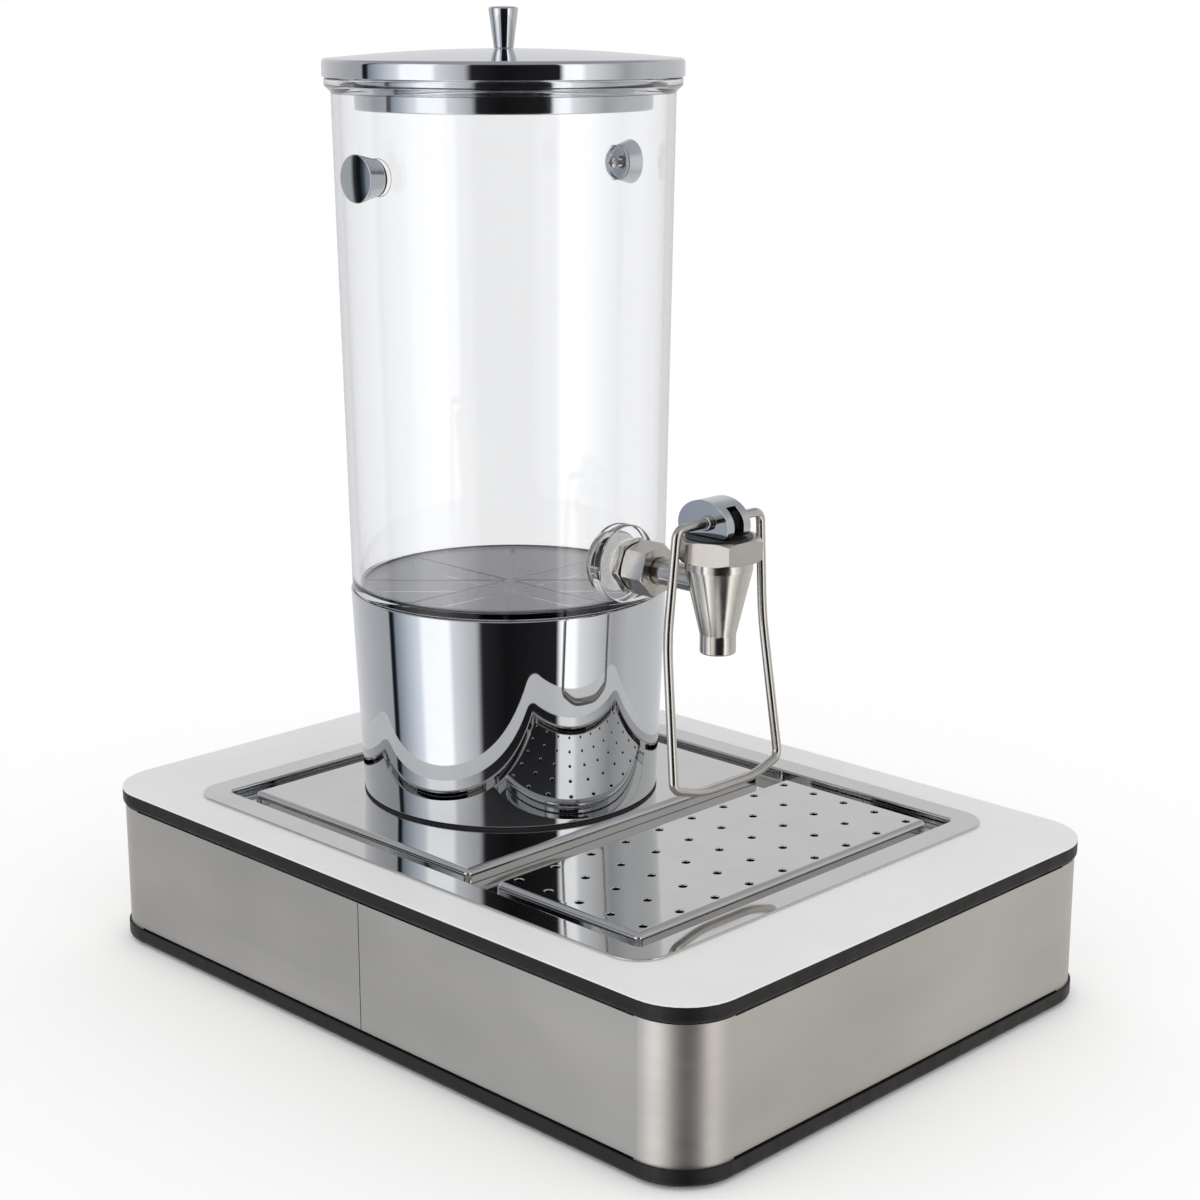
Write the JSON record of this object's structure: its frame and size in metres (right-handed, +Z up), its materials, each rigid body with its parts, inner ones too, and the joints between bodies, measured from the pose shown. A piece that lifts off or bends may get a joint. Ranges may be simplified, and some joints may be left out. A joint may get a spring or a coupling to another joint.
{
  "type": "countertop drink dispenser",
  "caption": "Gravity-fed cold drink dispenser: clear tank in a bright metal cup with a push-bail tap, over a drip tray in a boxed base.",
  "frame": {"origin": "middle of the face that the rubber feet stand on", "axes": "+Z up, -Y to the front where the tap is, +X to the right when facing the rear"},
  "size_m": [0.304, 0.4214, 0.4825],
  "materials": {
    "board_core": "satin black compact laminate",
    "white_laminate": "satin white laminate face",
    "brushed_sleeve": "horizontally brushed stainless sheet",
    "tray_steel": "mirror polished stainless sheet",
    "cup_chrome": "bright plated mirror",
    "tap_steel": "polished stainless with a warm tone",
    "clear_plastic": "clear moulded plastic",
    "clear_silicone": "translucent silicone",
    "black_rubber": "matt black rubber",
    "black_nylon": "satin black nylon",
    "plated_fastener": "plain stainless fastener",
    "aluminium_post": "turned aluminium"
  },
  "bodies": {
    "base": {"rubber_feet": "black_rubber", "bottom_board": "board_core", "sleeve_front": "brushed_sleeve", "sleeve_rear": "brushed_sleeve", "spacer_posts": "aluminium_post", "tie_screws": "plated_fastener", "top_board": "board_core", "top_laminate": "white_laminate", "tray_pan": "tray_steel", "deck_plate": "tray_steel", "deck_spacer": "aluminium_post", "stand_mat": "black_rubber", "stand_cup": "cup_chrome", "stand_bolt": "plated_fastener", "stand_washer": "plated_fastener", "stand_nut": "plated_fastener"},
    "drip_plate": {"drip_plate": "tray_steel"},
    "tank": {"tank_shell": "clear_plastic", "side_grips": "cup_chrome", "grip_screws": "plated_fastener", "port_stub": "tap_steel", "inner_seal": "clear_silicone", "outer_seal": "clear_silicone", "lock_nut": "tap_steel", "union_nut": "tap_steel", "union_seal": "clear_silicone", "tap_pipe": "tap_steel", "tap_body": "tap_steel", "bonnet": "tap_steel", "wear_disc": "black_nylon", "valve_spring": "plated_fastener"},
    "stem": {"valve_stem": "black_nylon", "valve_seal": "black_rubber"},
    "lever": {"cam": "cup_chrome", "lever_pin": "plated_fastener", "bail_collars": "tap_steel", "bail": "tap_steel"},
    "lid": {"lid_shell": "cup_chrome", "lid_plate": "cup_chrome", "lid_knob": "cup_chrome", "lid_screw": "plated_fastener"}
  },
  "joints": [
    {"name": "drip_plate_lift", "type": "slide", "parent": "base", "child": "drip_plate", "axis": [0, 0, 1], "range_m": [0, 0.03]},
    {"name": "tank_lift", "type": "slide", "parent": "base", "child": "tank", "axis": [0, 0, 1], "range_m": [0, 0.06]},
    {"name": "lid_lift", "type": "slide", "parent": "tank", "child": "lid", "axis": [0, 0, 1], "range_m": [0, 0.06]},
    {"name": "stem_lift", "type": "slide", "parent": "tank", "child": "stem", "axis": [0, 0, 1], "range_m": [0, 0.0029], "deforming": ["valve_spring"]},
    {"name": "lever_swing", "type": "hinge", "parent": "stem", "child": "lever", "pos_m": [0, -0.0897, 0.2485], "axis": [1, 0, 0], "range_deg": [0, 18], "stiffness_Nm_per_rad": 0.6, "springref_deg": -14.32}
  ],
  "couplings": [
    {"joint": "stem_lift", "follows": "lever_swing", "m_per_rad": 0.0092}
  ]
}
